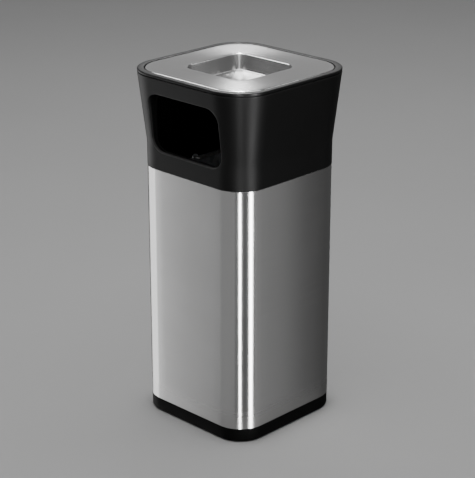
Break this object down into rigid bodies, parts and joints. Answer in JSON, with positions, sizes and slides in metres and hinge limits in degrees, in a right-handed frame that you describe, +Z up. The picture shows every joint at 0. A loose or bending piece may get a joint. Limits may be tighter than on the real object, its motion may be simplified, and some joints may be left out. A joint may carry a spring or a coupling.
{
  "type": "ashtray bin",
  "caption": "Square brushed steel bin with a flared black head, a side deposit opening, a lift-out ashtray top and a lift-out inner bin with a folding bail",
  "frame": {"origin": "middle of the bin at floor level, under the feet", "axes": "+Z up along the bin, -Y out of the deposit opening, +X to the right of someone facing the opening from inside the bin looking along +Y"},
  "size_m": [0.268, 0.268, 0.5948],
  "materials": {
    "brushed_tube": "fine upright brushing, satin",
    "plain_steel": "plain mill finish",
    "galvanised": "galvanised sheet with soft spangle",
    "plinth_black": "fine moulded grain, matt",
    "foot_rubber": "matt rubber",
    "fasteners": "zinc plated",
    "head_black": "satin moulded plastic",
    "rim_black": "satin moulded plastic",
    "tray_steel": "brushed one way, bright pressed edges",
    "grip_black": "moulded plastic"
  },
  "bodies": {
    "body": {"body_tube": "brushed_tube", "seam_strip": "plain_steel", "top_frame": "galvanised", "base_plinth": "plinth_black", "floor_panel": "galvanised", "foot_pads": "foot_rubber", "foot_screws": "fasteners", "foot_nuts": "fasteners"},
    "head": {"head_shell": "head_black", "top_bezel": "rim_black", "bezel_screws": "fasteners", "tray_pads": "foot_rubber"},
    "ashtray": {"ashtray_pan": "tray_steel"},
    "liner": {"liner_bucket": "galvanised", "liner_floor": "galvanised", "bail_ears": "galvanised", "ear_rivets": "fasteners"},
    "bail": {"bail_wire": "plain_steel", "bail_grip": "grip_black"}
  },
  "joints": [
    {"name": "head_lift", "type": "slide", "parent": "body", "child": "head", "axis": [0, 0, 1], "range_m": [0, 0.56]},
    {"name": "ashtray_lift", "type": "slide", "parent": "head", "child": "ashtray", "axis": [0, 0, 1], "range_m": [0, 0.12]},
    {"name": "liner_lift", "type": "slide", "parent": "body", "child": "liner", "axis": [0, 0, 1], "range_m": [0, 0.42]},
    {"name": "bail_swing", "type": "hinge", "parent": "liner", "child": "bail", "pos_m": [0, 0, 0.4185], "axis": [1, 0, 0], "range_deg": [0, 180]}
  ],
  "couplings": [
    {"joint": "liner_lift", "follows": "head_lift", "ratio": 0.75}
  ]
}
